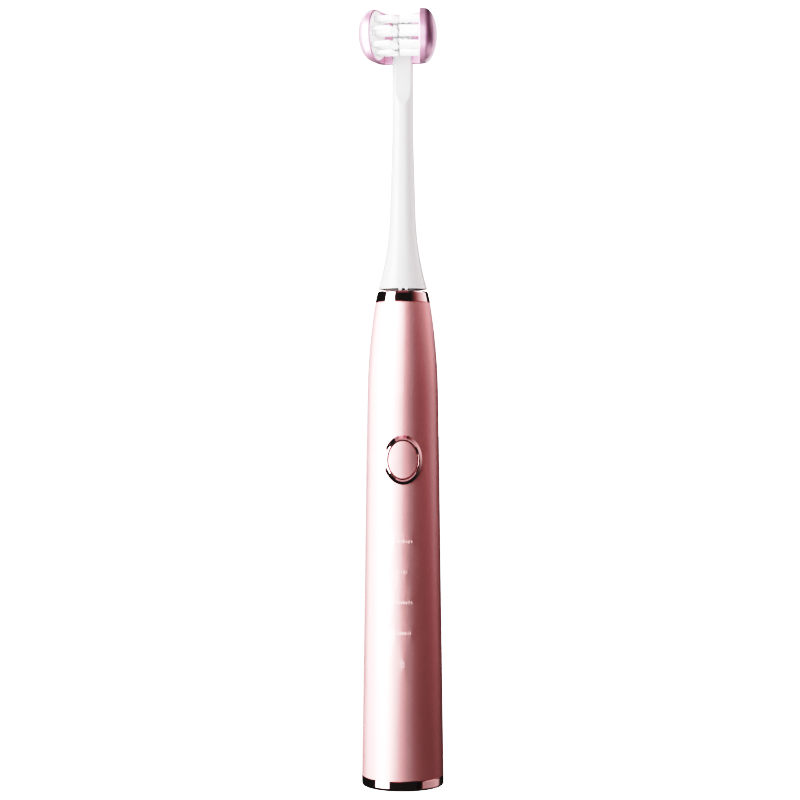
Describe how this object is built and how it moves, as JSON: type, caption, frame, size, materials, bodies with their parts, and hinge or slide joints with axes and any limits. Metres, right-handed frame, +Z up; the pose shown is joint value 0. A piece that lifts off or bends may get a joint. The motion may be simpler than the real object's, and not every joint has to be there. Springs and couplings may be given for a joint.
{
  "type": "sonic toothbrush",
  "caption": "Slim sonic toothbrush that stands on its base: tapered handle with an oval push button, a removable flared neck, and a three-sided brush head with facing ears.",
  "frame": {"origin": "centre of the flat base on the handle axis", "axes": "+Z up along the handle, -Y towards the front with the button, +X to the viewer's right"},
  "size_m": [0.027, 0.029, 0.2451],
  "materials": {
    "rose_gold_satin": "satin pearl rose-gold coat",
    "rose_gold_satin_button": "satin pearl rose-gold coat",
    "mark_inlay": "pale matte inlay",
    "rose_gold_chrome": "polished rose-gold plating",
    "base_plastic": "fine moulded grain",
    "seal_rubber": "matte",
    "frame_plastic": "moulded",
    "copper_winding": null,
    "wire_sleeve": "soft sleeve",
    "battery_wrap": "shrunk film",
    "nickel": "plated",
    "board_laminate": "solder mask",
    "screw_steel": "plated",
    "chip_resin": "moulded resin",
    "light_lens": "clear resin",
    "motor_steel": "drawn steel",
    "bearing_bronze": null,
    "shaft_steel": "ground",
    "white_gloss": "polished white moulding",
    "white_plate": "moulded white",
    "pink_gloss": "polished pink moulding",
    "bristle_nylon": "translucent white filaments"
  },
  "bodies": {
    "handle": {"handle_shell": "rose_gold_satin", "mode_marks": "mark_inlay", "top_collar": "rose_gold_chrome", "bottom_band": "rose_gold_chrome", "base_cap": "base_plastic", "base_seal": "seal_rubber", "coil_bobbin": "frame_plastic", "charging_coil": "copper_winding", "coil_wires": "wire_sleeve", "chassis": "frame_plastic", "battery_cell": "battery_wrap", "battery_tabs": "nickel", "circuit_board": "board_laminate", "board_screws": "screw_steel", "board_chips": "chip_resin", "status_lights": "light_lens", "light_baffle": "frame_plastic", "button_bezel": "rose_gold_chrome", "switch_body": "chip_resin", "motor_housing": "motor_steel", "motor_cap_upper": "motor_steel", "motor_cap_lower": "motor_steel", "bearing_upper": "bearing_bronze", "bearing_lower": "bearing_bronze", "stator_core": "motor_steel", "stator_coils": "copper_winding", "motor_dampers": "seal_rubber", "motor_clip": "frame_plastic", "motor_wires": "wire_sleeve", "seal_carrier": "frame_plastic", "carrier_screws": "screw_steel", "shaft_seal": "seal_rubber"},
    "button": {"button_cap": "rose_gold_satin_button", "button_seal": "seal_rubber"},
    "plunger": {"switch_plunger": "chip_resin"},
    "rotor": {"drive_shaft": "shaft_steel", "rotor_yoke": "motor_steel", "rotor_magnets": "nickel"},
    "brush_head": {"brush_neck": "white_gloss", "shaft_clip": "shaft_steel", "head_cover": "pink_gloss", "left_bristle_plate": "white_plate", "right_bristle_plate": "white_plate", "left_bristles": "bristle_nylon", "right_bristles": "bristle_nylon", "rear_bristles": "bristle_nylon", "bristle_anchors": "bearing_bronze"}
  },
  "joints": [
    {"name": "power_button", "type": "slide", "parent": "handle", "child": "button", "axis": [0, 1, 0], "range_m": [0, 0.0005], "stiffness_N_per_m": 800},
    {"name": "switch_press", "type": "slide", "parent": "handle", "child": "plunger", "axis": [0, 1, 0], "range_m": [0, 0.00025]},
    {"name": "shaft_sweep", "type": "hinge", "parent": "handle", "child": "rotor", "pos_m": [0, 0, 0.128], "axis": [0, 0, 1], "range_deg": [-4, 4], "stiffness_Nm_per_rad": 0.02},
    {"name": "brush_head_pull", "type": "slide", "parent": "rotor", "child": "brush_head", "axis": [0, 0, 1], "range_m": [0, 0.022]}
  ],
  "couplings": [
    {"joint": "switch_press", "follows": "power_button", "ratio": 0.5}
  ]
}
